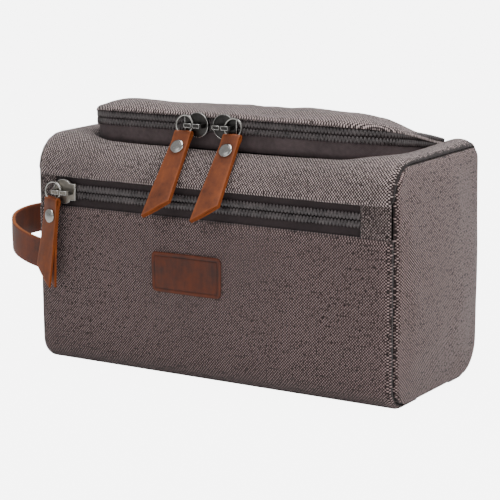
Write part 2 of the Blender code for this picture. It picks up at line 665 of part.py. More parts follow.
def patch():
    outline = rounded_outline(PATCH_LENGTH, PATCH_HEIGHT, PATCH_CORNER_RADIUS)
    y = FRONT_Y - GAP - PATCH_THICKNESS / 2
    place("front_patch", plate_mesh("front_patch", outline, PATCH_THICKNESS), PATCH_LEATHER, None,
          (PATCH_X, y, PATCH_Z))


def handle():
    start_x = -BAG_LENGTH / 2 - CANVAS - GAP - END_BULGE / 2
    rows = [[], []]
    steps = 22
    for i in range(steps + 1):
        angle = pi * i / steps
        share = sin(angle)
        x = start_x - STRAP_BOW * share**0.9
        y = STRAP_END_Y * cos(angle)
        z = STRAP_END_Z + STRAP_RISE * share
        rows[0].append((x, y, z - STRAP_WIDTH / 2))
        rows[1].append((x, y, z + STRAP_WIDTH / 2))
    item = place("side_handle", ruled_mesh("side_handle", *rows), STRAP_LEATHER)
    thicken(item, STRAP_THICKNESS)


body_panels()
end_panel("left_end_panel", -1)
end_panel("right_end_panel", 1)
shoulder_panel()
lid_and_band()
inner_layers()
pocket_zip()
sliders()
patch()
handle()
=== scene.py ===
"""The finished look of a canvas shaving kit bag with a zipped lid, a zipped front pocket, leather pulls and a strap.

Metres, +Z up, the front faces -Y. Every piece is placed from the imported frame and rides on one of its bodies.
"""

import json

from math import cos, pi, radians, sin, sqrt, tau

import bmesh
import bpy
import numpy as np
from mathutils import Matrix, Vector, noise


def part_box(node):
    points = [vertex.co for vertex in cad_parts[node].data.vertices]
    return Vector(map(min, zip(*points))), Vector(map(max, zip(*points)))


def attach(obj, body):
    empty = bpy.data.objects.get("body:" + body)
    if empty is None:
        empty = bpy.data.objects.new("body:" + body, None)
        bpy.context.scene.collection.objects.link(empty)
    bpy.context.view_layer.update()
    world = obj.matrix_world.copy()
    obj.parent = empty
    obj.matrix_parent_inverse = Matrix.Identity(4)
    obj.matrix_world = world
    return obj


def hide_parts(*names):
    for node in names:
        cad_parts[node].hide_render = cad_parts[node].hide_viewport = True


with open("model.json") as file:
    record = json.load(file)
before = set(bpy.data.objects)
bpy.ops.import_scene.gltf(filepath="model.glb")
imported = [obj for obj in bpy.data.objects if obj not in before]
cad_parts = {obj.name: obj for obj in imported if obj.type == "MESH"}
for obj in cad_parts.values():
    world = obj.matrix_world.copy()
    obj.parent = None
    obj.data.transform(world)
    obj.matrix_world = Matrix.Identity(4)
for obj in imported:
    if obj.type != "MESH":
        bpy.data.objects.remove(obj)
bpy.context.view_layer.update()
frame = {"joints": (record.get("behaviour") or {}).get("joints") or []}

# --- Camera, floor and light -------------------------------------------------------------------------------
# A pale seamless floor under a broad overhead light, a softer light from the right and a weak one in front.

eye_azimuth, eye_elevation, eye_roll = radians(32.17), radians(11.33), radians(-0.45)
eye_target = Vector((-0.00362, 0.0, 0.07324))
eye_distance = 1.1695
eye_back = Vector((sin(eye_azimuth) * cos(eye_elevation), -cos(eye_azimuth) * cos(eye_elevation), sin(eye_elevation)))
bpy.ops.object.camera_add(location=eye_target + eye_back * eye_distance)
camera = bpy.context.object
camera.rotation_euler = (eye_back.to_track_quat("Z", "Y").to_matrix() @ Matrix.Rotation(eye_roll, 3, "Z")).to_euler()
camera.data.sensor_width = 36.0
camera.data.lens = 133.2
camera.data.clip_end = 20.0
bpy.context.scene.camera = camera

bpy.ops.mesh.primitive_plane_add(size=12.0, location=(0, 0, -0.0006))
floor = bpy.context.object
floor.name = "floor"
floor_paint = bpy.data.materials.new("floor_paint")
floor_paint.use_nodes = True
floor_tree = floor_paint.node_tree
floor_shader = floor_tree.nodes["Principled BSDF"]
floor_shader.inputs["Base Color"].default_value = (0.86, 0.86, 0.86, 1)
floor_shader.inputs["Roughness"].default_value = 0.9
floor_glow = floor_tree.nodes.new("ShaderNodeEmission")
floor_glow.inputs["Strength"].default_value = 8.0
floor_seen = floor_tree.nodes.new("ShaderNodeLightPath")
floor_share = floor_tree.nodes.new("ShaderNodeMath")
floor_share.operation = "MULTIPLY"
floor_share.inputs[1].default_value = 0.80
floor_choice = floor_tree.nodes.new("ShaderNodeMixShader")
floor_tree.links.new(floor_seen.outputs["Is Camera Ray"], floor_share.inputs[0])
floor_tree.links.new(floor_share.outputs[0], floor_choice.inputs[0])
floor_tree.links.new(floor_shader.outputs[0], floor_choice.inputs[1])
floor_tree.links.new(floor_glow.outputs[0], floor_choice.inputs[2])
floor_tree.links.new(floor_choice.outputs[0], floor_tree.nodes["Material Output"].inputs["Surface"])
floor.data.materials.append(floor_paint)

for light_name, place, aim, width, watts in [
        ("overhead_light", (0.25, 0.15, 1.5), (0, 0, 0.1), 1.3, 30.0),
        ("right_light", (1.5, -0.35, 0.7), (0, 0, 0.08), 0.9, 8.0),
        ("front_light", (-0.3, -1.7, 0.9), (0, 0, 0.08), 1.2, 4.5)]:
    bpy.ops.object.light_add(type="AREA", location=place)
    lamp = bpy.context.object
    lamp.name = light_name
    lamp.rotation_euler = (Vector(place) - Vector(aim)).to_track_quat("Z", "Y").to_euler()
    lamp.data.size = width
    lamp.data.energy = watts
world = bpy.data.worlds.new("studio")
bpy.context.scene.world = world
world.use_nodes = True
sky = world.node_tree
sky_light = sky.nodes["Background"]
sky_light.inputs["Color"].default_value = (1.0, 1.0, 1.0, 1)
sky_light.inputs["Strength"].default_value = 0.50
backdrop = sky.nodes.new("ShaderNodeBackground")
backdrop.inputs["Strength"].default_value = 6.0
sky_seen = sky.nodes.new("ShaderNodeLightPath")
sky_choice = sky.nodes.new("ShaderNodeMixShader")
sky.links.new(sky_seen.outputs["Is Camera Ray"], sky_choice.inputs[0])
sky.links.new(sky_light.outputs[0], sky_choice.inputs[1])
sky.links.new(backdrop.outputs[0], sky_choice.inputs[2])
sky.links.new(sky_choice.outputs[0], sky.nodes["World Output"].inputs["Surface"])

# --- Canvas body -------------------------------------------------------------------------------------------
# Washed cotton canvas, sewn as a shoulder piece round the lid's opening, a front that runs under the pocket slot
# and round the base, a bottom, a back and two bulged ends. The cut edges turn inwards at every seam.


class Signal:
    """One output of a shader node. Arithmetic on it adds Math nodes, and add() makes any other node."""

    def __init__(self, tree, socket=None):
        self.tree = tree
        self.socket = socket

    def add(self, kind, settings=None, inputs=None, output=0):
        node = self.tree.nodes.new(kind)
        for key, value in (settings or {}).items():
            if key == "stops":
                ramp = node.color_ramp
                while len(ramp.elements) < len(value):
                    ramp.elements.new(0.5)
                for stop, (position, color) in zip(ramp.elements, value):
                    stop.position = position
                    stop.color = (*color, 1.0)
            else:
                setattr(node, key, value)
        for key, value in (inputs or {}).items():
            if isinstance(value, Signal):
                self.tree.links.new(value.socket, node.inputs[key])
            else:
                node.inputs[key].default_value = value
        return Signal(self.tree, node.outputs[output])

    def math(self, operation, other=None, third=None):
        values = [value for value in (self, other, third) if value is not None]
        return self.add("ShaderNodeMath", {"operation": operation}, dict(enumerate(values)))

    def _swapped(self, operation, other):
        return self.add("ShaderNodeMath", {"operation": operation}, {0: other, 1: self})

    def __add__(self, other):
        return self.math("ADD", other)

    def __sub__(self, other):
        return self.math("SUBTRACT", other)

    def __mul__(self, other):
        return self.math("MULTIPLY", other)

    def __pow__(self, other):
        return self.math("POWER", other)

    def __rsub__(self, other):
        return self._swapped("SUBTRACT", other)

    __radd__ = __add__
    __rmul__ = __mul__

    def clamped(self, low=0.0, high=1.0):
        return self.add("ShaderNodeClamp", None, {"Value": self, "Min": low, "Max": high})

    def ramp(self, *stops):
        return self.add("ShaderNodeValToRGB", {"stops": stops}, {"Fac": self})

    def blend_to(self, first, second):
        """first where this is 0, second where it is 1; both are colours."""
        return self.add("ShaderNodeMix", {"data_type": "RGBA"}, {0: self, 6: first, 7: second}, 2)

    def split(self):
        """The x, y and z of this place."""
        apart = self.add("ShaderNodeSeparateXYZ", None, {0: self}).socket.node
        return [Signal(self.tree, output) for output in apart.outputs]

    def noise(self, scale, detail=2.0, roughness=0.5, dimensions="3D"):
        return self.add("ShaderNodeTexNoise", {"noise_dimensions": dimensions}, {
            "Vector": self, "Scale": scale, "Detail": detail, "Roughness": roughness})

    def stretched(self, along_x, along_y):
        """Flat noise whose grains have their own scale each way."""
        x, y, _ = self.split()
        grains = self.add("ShaderNodeCombineXYZ", None, {0: x * along_x, 1: y * along_y})
        return grains.noise(1.0, 1.0, dimensions="2D")

    def bump(self, strength, distance):
        return self.add("ShaderNodeBump", None, {"Strength": strength, "Distance": distance, "Height": self})


def new_finish(name, roughness, **sockets):
    """A Principled material, its shader, and the place on the piece as the first Signal of its tree."""
    finish = bpy.data.materials.new(name)
    finish.use_nodes = True
    shader = finish.node_tree.nodes["Principled BSDF"]
    shader.inputs["Roughness"].default_value = roughness
    for key, value in sockets.items():
        shader.inputs[key.replace("_", " ")].default_value = value
    return finish, shader, Signal(finish.node_tree).add("ShaderNodeTexCoord", output=3)


def connect(shader, **signals):
    for key, signal in signals.items():
        signal.tree.links.new(signal.socket, shader.inputs[key.replace("_", " ")])


def rgb(red, green, blue):
    """A colour given as screen values from 0 to 255, as linear values with an alpha."""
    return tuple(((c / 255 + 0.055) / 1.055) ** 2.4 for c in (red, green, blue)) + (1.0,)


thread_pitch = 0.00092


def canvas_finish(name, painted_light_level, grain, light_thread):
    """Plain weave of pale and dark threads, washed unevenly; a higher light level shows more of the pale ones and
    paints the panel as more brightly lit.
    """
    finish, shader, place = new_finish(name, 0.93, Sheen_Weight=0.12, Specular_IOR_Level=0.25)
    uv = place.add("ShaderNodeUVMap", {"uv_map": "UVMap"})
    across, along, _ = uv.split()
    wobble = uv.noise(260.0, 1.0, dimensions="2D")
    warp_phase = across * (pi / thread_pitch) + wobble * 0.4
    weft_phase = along * (pi / thread_pitch) + wobble * 0.4
    crossing = warp_phase.math("SINE") * weft_phase.math("SINE")
    thread_height = crossing.math("ABSOLUTE") ** 0.5
    warp_on_top = (crossing * 3.0 + 0.5).clamped()
    warp_slub = uv.stretched(1200.0, 420.0)
    weft_slub = uv.stretched(420.0, 1200.0)
    speckle = warp_on_top * (warp_slub * 1.6 + 0.05) + (1 - warp_on_top) * (weft_slub - 0.45)
    fleck = uv.noise(720.0, dimensions="2D")
    wash = place.noise(26.0, 5.0, 0.62)
    patches = place.noise(150.0, 3.0, 0.6)
    # The wear attribute holds pale wear along edges and the painted shadow in the seams' grooves.
    wear = place.add("ShaderNodeAttribute", {"attribute_name": "wear"}, output=2)
    tone = (speckle - 0.40) * (1.15 * grain) + (fleck - 0.5) * grain + wear * 0.42
    # Painted light: each copy's light level lifts or lowers its whole tone.
    tone = tone + (wash - 0.5) * 0.62 + (patches - 0.5) * 0.35 + (painted_light_level - 0.20)
    color = tone.clamped().blend_to(rgb(38, 29, 28), light_thread)
    # Painted shade: the colour goes almost black in the gaps between the threads.
    painted_gap_shade = thread_height * 0.75 + 0.25
    connect(shader, Base_Color=painted_gap_shade.blend_to((0.010, 0.008, 0.008, 1.0), color))
    connect(shader, Normal=(thread_height + warp_slub * 0.5 + patches * 0.8).bump(0.55, 0.00028))
    return finish


# One canvas in lit and shaded copies: the shoulder and the lid are painted lighter than the front, back, bottom and
# ends, as if lit from above, and the ends a little paler than the front.
front_cloth = canvas_finish("front_canvas", -0.13, 2.7, rgb(164, 140, 138))
end_cloth = canvas_finish("end_canvas", -0.13, 2.9, rgb(170, 146, 143))
top_cloth_painted_lighter = canvas_finish("top_canvas", 0.17, 1.4, rgb(203, 184, 181))

canvas_thickness = 0.0012
bag_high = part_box("back_panel")[1]
half_length = bag_high[0] + 0.0003
front_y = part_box("front_panel")[0][1]
back_y = bag_high[1]
slot_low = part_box("front_panel")[1][2]
slot_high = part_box("shoulder_panel")[0][2]
hinge_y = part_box("shoulder_panel")[1][1]
box_height = bag_high[2] + 0.0022
base_radius = 0.014
back_base_radius = 0.022
back_top_radius = 0.010
shoulder_end_radius = 0.021
shoulder_more_radius = 0.008
top_sag = 0.0012
front_bulge = 0.0022
seam_roll = 0.0020


def towards_edges(share):
    """Spreads the columns of a panel so that they crowd towards its two side seams; from -1 to 1."""
    across = 2 * share - 1
    return 0.4 * across + 0.6 * sin(across * pi / 2)


def seam_shade(distance):
    """Painted shadow: how dark the cloth is painted in the groove of a seam, then a little paler where it turns out.
    """
    if distance < 0.0008:
        return -3.0 * (1 - distance / 0.0008)
    return 0.35 * max(0.0, 1 - abs(distance - 0.004) / 0.003)


def rolled(distance, radius=seam_roll):
    """How far an edge turns in at a distance from its cut end."""
    short = radius - min(max(distance, 0.0), radius)
    return radius - sqrt(max(radius * radius - short * short, 0.0))


def creases(x, y, z):
    """Soft dents and finer puckers of washed cloth, in metres."""
    broad = noise.noise(Vector((x * 17, y * 22, z * 26 + 4.1)))
    fine = noise.noise(Vector((x * 62 + 9, y * 58, z * 70)))
    ridge = 1 - abs(noise.noise(Vector((x * 24 - z * 11, y * 30 + 3.7, z * 34 + x * 7))))
    return broad * 0.0013 + fine * 0.00022 + (ridge - 0.75) * 0.0011


def woven_sheet(name, columns, rows, place, finish, thickness, offset):
    """A sheet of cloth. place(s, t) gives the point, its place on the flat cloth, and how worn it is there, with any
    painted seam shadow.
    """
    bpy.ops.object.select_all(action="DESELECT")
    bpy.ops.mesh.primitive_grid_add(x_subdivisions=columns, y_subdivisions=rows, size=1.0)
    sheet = bpy.context.object
    sheet.name = name
    mesh = sheet.data
    flat = []
    wear = []
    for vertex in mesh.vertices:
        point, on_cloth, worn = place(vertex.co.x + 0.5, vertex.co.y + 0.5)
        vertex.co = point
        flat.append(on_cloth)
        wear.append(worn)
    for loop in mesh.loops:
        mesh.uv_layers.active.data[loop.index].uv = flat[loop.vertex_index]
    mesh.attributes.new("wear", "FLOAT", "POINT").data.foreach_set("value", wear)
    mesh.uv_layers.active.name = "UVMap"
    mesh.materials.append(finish)
    wall = sheet.modifiers.new("cloth", "SOLIDIFY")
    wall.thickness = thickness
    wall.offset = offset
    bpy.ops.object.modifier_apply(modifier="cloth")
    bpy.ops.object.shade_smooth()
    return sheet


def sewn_panel(name, columns, rows, place, finish, node, body, thickness=canvas_thickness):
    """A cloth panel whose outer face lies where place(s, t) says."""
    panel = woven_sheet(name, columns, rows, place, finish, thickness, -1)
    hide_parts(node)
    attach(panel, body)
    return panel


def shoulder_section(x):
    """At x: the shoulder's radius, the top's height, and how far the top is flat before the shoulder."""
    middle = 1 - min(abs(x) / half_length, 1.0) ** 4
    radius = shoulder_end_radius + shoulder_more_radius * middle
    return radius, box_height - top_sag * middle, hinge_y - (front_y + radius)


def shoulder_point(x, s):
    """A point on the body's top and shoulder, s from the hinge over the top and down the front; its normal."""
    radius, height, flat = shoulder_section(x)
    if s < flat:
        return Vector((x, hinge_y - s, height)), Vector((0, 0, 1))
    angle = (s - flat) / radius
    if angle < pi / 2:
        normal = Vector((0, -sin(angle), cos(angle)))
        return Vector((x, front_y + radius, height - radius)) + normal * radius, normal
    return Vector((x, front_y, height - radius - (s - flat - radius * pi / 2))), Vector((0, -1, 0))


def slot_reach(x):
    """Length of cloth from the hinge to the pocket slot."""
    radius, height, flat = shoulder_section(x)
    above = (slot_high - (height - radius)) / radius
    if above > 0:
        return flat + radius * (pi / 2 - np.arcsin(min(above, 1.0)))
    return flat + radius * (pi / 2 - above)


opening_half, opening_front, opening_radius = 0.1105, 0.0823, 0.031


def opening_edge(share):
    """The lid opening's edge in flat cloth, from the left back corner round the front; and the outer edge."""
    side = opening_front - opening_radius
    bend = opening_radius * pi / 2
    front = 2 * (opening_half - opening_radius)
    total = 2 * side + 2 * bend + front
    run = share * total
    mirrored = run > total / 2
    if mirrored:
        run = total - run
    if run < side:
        inner = (-opening_half, run)
        outer = (-half_length, run)
    elif run < side + bend:
        angle = (run - side) / opening_radius
        inner = (-opening_half + opening_radius * (1 - cos(angle)), side + opening_radius * sin(angle))
        turn = angle / (pi / 2)
        reach = slot_reach(-half_length)
        if turn < 0.5:
            outer = (-half_length, side + (reach - side) * turn * 2)
        else:
            corner_x = -half_length + (half_length - opening_half + opening_radius) * (turn - 0.5) * 2
            outer = (corner_x, slot_reach(corner_x))
    else:
        x = -opening_half + opening_radius + (run - side - bend)
        inner = (x, opening_front)
        outer = (x, slot_reach(x))
    if mirrored:
        inner, outer = (-inner[0], inner[1]), (-outer[0], outer[1])
    return Vector(inner), Vector(outer)


def shoulder_cloth(share, t):
    inner, outer = opening_edge(share)
    t = 0.5 - 0.5 * cos(pi * t)
    spot = inner.lerp(outer, t)
    width = (outer - inner).length
    point, normal = shoulder_point(spot.x, spot.y)
    from_opening = t * width
    from_end = half_length - abs(spot.x)
    from_slot = slot_reach(spot.x) - spot.y
    at_side = max(0.0, 1 - spot.y / opening_front)
    swell = (0.0012 + 0.0030 * at_side) * sin(pi * min(from_opening / 0.030, 1.0)) ** 0.8
    swell *= min(1.0, from_end / 0.012)
    swell -= 0.0011 * max(0.0, 1 - from_opening / 0.012)
    under_pulls = min(1.0, max(0.0, 0.090 - abs(spot.x)) / 0.012) * min(1.0, max(0.0, -0.040 - point.y) / 0.005)
    inwards = rolled(from_end) + rolled(from_opening, 0.0032) * 1.3 + rolled(from_slot, 0.0016)
    inwards += 0.0009 * under_pulls * min(1.0, from_slot / 0.006)
    fade = min(1.0, min(from_opening, from_end, from_slot) / 0.006)
    point = point + normal * (swell - inwards + fade * creases(*point))
    # Pale wear by the slot and the opening, and the painted seam shadow by the ends.
    worn = max(0.0, 1 - from_slot / 0.006) * 0.5 + max(0.0, 1 - from_opening / 0.005) * 0.35 + seam_shade(from_end)
    return point, spot, worn


sewn_panel("shoulder_canvas", 150, 26, shoulder_cloth, top_cloth_painted_lighter, "shoulder_panel", "bag")


def front_cloth_at(s, t):
    """From the pocket slot down the front, round the base and back to the seam underneath."""
    x = half_length * towards_edges(s)
    drop = slot_low - base_radius
    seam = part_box("front_panel")[1][1] - (front_y + base_radius)
    total = drop + base_radius * pi / 2 + seam
    run = total * t
    if run < drop:
        point, normal = Vector((x, front_y, slot_low - run)), Vector((0, -1, 0))
    elif run < drop + base_radius * pi / 2:
        angle = (run - drop) / base_radius
        normal = Vector((0, -cos(angle), -sin(angle)))
        point = Vector((x, front_y + base_radius, base_radius)) + normal * base_radius
    else:
        point = Vector((x, front_y + base_radius + run - drop - base_radius * pi / 2, 0))
        normal = Vector((0, 0, -1))
    from_end = half_length - abs(x)
    face = sin(pi * min(run / (drop + 0.01), 1.0)) * (1 - (abs(x) / half_length) ** 3)
    fade = min(1.0, min(from_end, run) / 0.008) * min(1.0, max(0.0, (drop + 0.008 - run) / 0.02))
    inwards = rolled(from_end) + rolled(run, 0.0016)
    point = point + normal * (front_bulge * face - inwards + fade * creases(*point))
    point.z = max(point.z, 0.0)
    # Pale wear by the slot, and the painted seam shadow by the ends.
    worn = max(0.0, 1 - run / 0.004) * 0.4 + seam_shade(from_end)
    return point, (x, run), worn


sewn_panel("front_canvas", 126, 70, front_cloth_at, front_cloth, "front_panel", "bag")


def back_cloth_at(s, t):
    """From the seam underneath, round the base, up the back and over to the lid's hinge line."""
    x = half_length * towards_edges(s)
    radius, top_radius = back_base_radius, back_top_radius
    seam = (back_y - radius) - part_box("back_panel")[0][1]
    rise = box_height - radius - top_radius
    lengths = [seam, radius * pi / 2, rise, top_radius * pi / 2, back_y - top_radius - hinge_y]
    run = left = sum(lengths) * t
    normal = Vector((0, 0, -1))
    point = Vector((x, back_y - radius - seam + run, 0))
    if left > lengths[0]:
        left -= lengths[0]
        angle = min(left / radius, pi / 2)
        normal = Vector((0, sin(angle), -cos(angle)))
        point = Vector((x, back_y - radius, radius)) + normal * radius
        left -= lengths[1]
        if left > 0:
            point = Vector((x, back_y, radius + min(left, rise)))
            left -= rise
        if left > 0:
            angle = min(left / top_radius, pi / 2)
            normal = Vector((0, cos(angle), sin(angle)))
            point = Vector((x, back_y - top_radius, box_height - top_radius)) + normal * top_radius
            left -= lengths[3]
        if left > 0:
            point.y -= left
    from_end = half_length - abs(x)
    from_hinge = sum(lengths) - run
    face = sin(pi * min(max((run - seam) / (sum(lengths) - seam), 0.0), 1.0)) * (1 - (abs(x) / half_length) ** 3)
    fade = min(1.0, min(from_end, from_hinge) / 0.01) * min(1.0, max(0.0, (run - seam - 0.012) / 0.03))
    at_lid = max(0.0, 1 - from_hinge / 0.016) * min(1.0, max(0.0, (opening_half + 0.006 - abs(x)) / 0.006))
    point = point + normal * (front_bulge * face - rolled(from_end) + fade * creases(*point))
    point.z = max(point.z, 0.0) - 0.0032 * at_lid
    return point, (x, run), seam_shade(from_end)


sewn_panel("back_canvas", 100, 70, back_cloth_at, front_cloth, "back_panel", "bag")


def bottom_cloth_at(s, t):
    low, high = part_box("bottom_panel")
    x = half_length * (2 * s - 1)
    y = low[1] + (high[1] - low[1]) * (1 - t)
    return Vector((x, y, rolled(half_length - abs(x)))), (x, y), 0.0


sewn_panel("bottom_canvas", 60, 6, bottom_cloth_at, front_cloth, "bottom_panel", "bag")


def end_outline(z, inset):
    """Front and back of the bag's end at height z, drawn in all round by inset."""
    near = far = inset
    for radius, from_edge in ((base_radius, z), (shoulder_end_radius, box_height - z)):
        if from_edge < radius:
            near = max(near, radius - sqrt(max((radius - inset) ** 2 - (radius - from_edge) ** 2, 0.0)))
    for radius, from_edge in ((back_base_radius, z), (back_top_radius, box_height - z)):
        if from_edge < radius:
            far = max(far, radius - sqrt(max((radius - inset) ** 2 - (radius - from_edge) ** 2, 0.0)))
    return front_y + near, back_y - far


seam_depth = 0.0024
base_lift = 0.0008
end_edge_radius = 0.0030
end_belly = 0.0064
for side, label in ((-1, "left"), (1, "right")):
    def end_cloth_at(s, t, side=side):
        up = sin((t - 0.5) * pi)
        across = side * sin((s - 0.5) * pi)
        z = base_lift + (box_height - seam_depth - base_lift) * (1 + up) / 2
        near, far = end_outline(z, seam_depth)
        y = near + (far - near) * (1 + across) / 2
        from_edge = min(y - near, far - y, z - base_lift, box_height - seam_depth - z)
        belly = (1 - abs(across) ** 2.6) * (1 - abs(up) ** 2.6)
        fade = min(1.0, from_edge / 0.012)
        dent = 1.5 * fade * creases(y + 0.31 * side, z, y * 0.3)
        x = half_length + 0.0001 + end_edge_radius - rolled(from_edge, end_edge_radius) + end_belly * belly + dent
        return Vector((side * x, y, z)), (y + 0.5, z), seam_shade(from_edge)

    sewn_panel(f"{label}_end_canvas", 60, 76, end_cloth_at, end_cloth, f"{label}_end_panel", "bag")

# --- Lid canvas --------------------------------------------------------------------------------------------
# The lid's top: the same canvas cut to a U, crowned by what is packed below, its rim turned down over the zip.

lid_low, lid_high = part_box("lid_panel")
lid_half = lid_high[0] + 0.0015
lid_front = lid_low[1]
lid_radius = 0.030
rim_front_z = 0.1635
rim_back_z = 0.1438
lid_crown = 0.0085


def towards_hinge(y):
    """0 at the lid's front edge, 1 at its hinge."""
    return min(max((y - lid_front) / (hinge_y - lid_front), 0.0), 1.0)


def rim_height(y):
    return rim_front_z + (rim_back_z - rim_front_z) * towards_hinge(y) ** 1.15


def lid_cloth_at(s, t):
    y = lid_front + (hinge_y - lid_front) * (1 - cos(t * pi / 2))
    before_side = max(lid_front + lid_radius - y, 0.0)
    reach = lid_half - lid_radius + sqrt(max(lid_radius**2 - before_side**2, 0.0))
    x = reach * sin((s - 0.5) * pi)
    if before_side > 0 and abs(x) > lid_half - lid_radius:
        corner = Vector((abs(x) - lid_half + lid_radius, before_side))
        from_rim = lid_radius - corner.length
    else:
        from_rim = min(lid_half - abs(x), y - lid_front)
    from_rim = max(from_rim, 0.0)
    from_hinge = hinge_y - y
    crown = lid_crown * (1 - (1 - min(from_rim / 0.034, 1.0)) ** 2) * min(1.0, from_hinge / 0.03) ** 0.8
    fade = min(1.0, from_rim / 0.008, from_hinge / 0.006)
    dents = creases(x * 1.3 + 0.4, y * 1.5, 0.3)
    z = rim_height(y) + crown - rolled(from_rim, 0.0026) * min(1.0, from_hinge / 0.012) + fade * 1.7 * dents
    return Vector((x, y, z)), (x, y), max(0.0, 1 - from_rim / 0.005) * 0.5


# The lid's copy of the canvas is painted lighter, as if lit from above.
lid_cloth_painted_lighter = canvas_finish("lid_canvas", 0.24, 1.4, rgb(200, 181, 178))
sewn_panel("lid_canvas", 120, 60, lid_cloth_at, lid_cloth_painted_lighter, "lid_panel", "lid")

# --- Lid zip -----------------------------------------------------------------------------------------------
# A band of dark twill tape stands between the lid and the opening. Two rows of nylon coil run along its upper
# part, each one long wound filament sewn through its core; the lower row and the plain tape stay with the bag.

coil_pitch = 0.0023
coil_row_width = 0.0044
coil_depth = 0.0017
strand_radius = 0.00074
chain_front_z = 0.1563


def tape_finish(name, low, high):
    """Fine twill: narrow slanted ridges on a dark woven tape."""
    finish, shader, place = new_finish(name, 0.86, Sheen_Weight=0.08, Specular_IOR_Level=0.3)
    along, across, _ = place.add("ShaderNodeUVMap", {"uv_map": "UVMap"}).split()
    ridges = ((along + across * 0.8) * (tau / 0.0009)).math("SINE") * 0.5 + 0.5
    picks = (across * (tau / 0.0006)).math("SINE") * 0.5 + 0.5
    lint = place.noise(420.0, 3.0)
    fade = place.noise(40.0, 3.0)
    tone = ridges * 0.35 + picks * 0.15 + (lint - 0.5) * 0.5 + (fade - 0.5) * 0.7 + 0.3
    connect(shader, Base_Color=tone.clamped().blend_to(low, high))
    connect(shader, Normal=(ridges * 0.7 + picks * 0.3 + lint * 0.4).bump(0.45, 0.00018))
    return finish


band_tape = tape_finish("lid_zip_tape", rgb(42, 34, 35), rgb(100, 87, 88))

coil_nylon, coil_shader, coil_place = new_finish("zip_nylon", 0.42, Specular_IOR_Level=0.5)
coil_dust = coil_place.noise(130.0, 3.0)
connect(coil_shader, Base_Color=(coil_place.noise(900.0) * 0.5 + coil_dust * 0.5).ramp(
    (0.30, rgb(22, 18, 19)[:3]), (0.75, rgb(98, 90, 90)[:3])))
connect(coil_shader, Roughness=coil_dust * 0.30 + 0.18)


def lid_path(inset, steps=260):
    """The U of the lid's edge in plan, from its left back corner round the front, evenly spaced."""
    half, front, radius = lid_half - inset, lid_front + inset, lid_radius - inset
    side = hinge_y - 0.0006 - (front + radius)
    bend = radius * pi / 2
    width = 2 * (half - radius)
    total = 2 * (side + bend) + width
    points = []
    for i in range(steps + 1):
        run = total * i / steps
        mirror = 1.0
        if run > total / 2:
            run, mirror = total - run, -1.0
        if run < side:
            spot, out = (-half, hinge_y - 0.0006 - run), (-1.0, 0.0)
        elif run < side + bend:
            angle = (run - side) / radius
            out = (-cos(angle), -sin(angle))
            spot = (-half + radius + radius * out[0], front + radius + radius * out[1])
        else:
            spot, out = (-half + radius + run - side - bend, front), (0.0, -1.0)
        points.append((Vector((spot[0] * mirror, spot[1])), Vector((out[0] * mirror, out[1])), total * i / steps))
    return points


def chain_height(y):
    """The middle of the lid's chain at depth y; it sinks towards the hinge."""
    return chain_front_z + (box_height - 0.0004 - chain_front_z) * towards_hinge(y) ** 1.1


def row_width(y):
    return coil_row_width * (1 - 0.50 * towards_hinge(y) ** 4)


def ribbon(name, points, lower, upper, finish, node, body):
    """A strip of tape along points, between the heights lower(y) and upper(y), of the shape of its CAD node."""
    def tape_at(s, t):
        spot, out, run = points[round(s * (len(points) - 1))]
        low, high = lower(spot.y), upper(spot.y)
        ripple = 0.00025 * noise.noise(Vector((run * 60, t * 2, 3.0)))
        up_tape = (high - low) * t
        return (spot.x + out.x * ripple, spot.y + out.y * ripple, low + up_tape), (run, up_tape), 0.0

    tape = woven_sheet(name, len(points) - 1, 4, tape_at, finish, 0.0006, 0)
    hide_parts(node)
    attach(tape, body)


def coil(name, frames, sign, node, body, width_at=lambda y: coil_row_width):
    """One row of a coil zip: a filament wound along frames of (point, outwards, along the row's width, run)."""
    length = frames[-1][3]
    turns = int(length / coil_pitch)
    per_turn = 8
    strand = bpy.data.curves.new(name, "CURVE")
    strand.dimensions = "3D"
    strand.bevel_depth = strand_radius
    strand.bevel_resolution = 1
    spline = strand.splines.new("POLY")
    spline.points.add(turns * per_turn)
    shift = 0.0 if sign > 0 else 0.5
    for i in range(turns * per_turn + 1):
        run = length * i / (turns * per_turn)
        place = run / length * (len(frames) - 1)
        index = min(int(place), len(frames) - 2)
        part = place - index
        point = frames[index][0].lerp(frames[index + 1][0], part)
        out = frames[index][1].lerp(frames[index + 1][1], part)
        up = frames[index][2]
        width = width_at(point.y)
        angle = tau * (i / per_turn + shift)
        reach = width / 2 - strand_radius * 0.6
        sweep = cos(angle) * sign
        bulge = sin(angle)
        centre = sign * (width / 2 + 0.00008)
        spot = point + up * (centre + reach * sweep) + out * ((coil_depth / 2 - strand_radius) * bulge)
        spline.points[i].co = (*spot, 1.0)
    row = bpy.data.objects.new(name, strand)
    bpy.context.scene.collection.objects.link(row)
    bpy.ops.object.select_all(action="DESELECT")
    row.select_set(True)
    bpy.context.view_layer.objects.active = row
    bpy.ops.object.convert(target="MESH")
    row = bpy.context.object
    row.data.materials.clear()
    row.data.materials.append(coil_nylon)
    bpy.ops.object.shade_smooth()
    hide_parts(node)
    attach(row, body)


tape_path = lid_path(0.0023)
ribbon("lid_zip_lower_tape", tape_path, lambda y: box_height - 0.0028, lambda y: chain_height(y) - 0.0001, band_tape,
       "main_zip_lower_tape", "bag")
ribbon("lid_zip_upper_tape", tape_path, lambda y: chain_height(y) + 0.0001,
       lambda y: chain_height(y) + row_width(y) + 0.0016 * (1 - (y - lid_front) / (hinge_y - lid_front)), band_tape,
       "main_zip_upper_tape", "lid")
up = Vector((0, 0, 1))
chain_frames = [(Vector((spot.x, spot.y, chain_height(spot.y))), Vector((out.x, out.y, 0.0)), up, run)
                for spot, out, run in lid_path(0.0012)]
coil("lid_zip_lower_coil", chain_frames, -1, "main_zip_lower_coil", "bag", row_width)
coil("lid_zip_upper_coil", chain_frames, 1, "main_zip_upper_coil", "lid", row_width)

# --- Front pocket zip --------------------------------------------------------------------------------------
# A straight run of the same coil zip behind the slot in the front, with a canvas square sewn over each end.

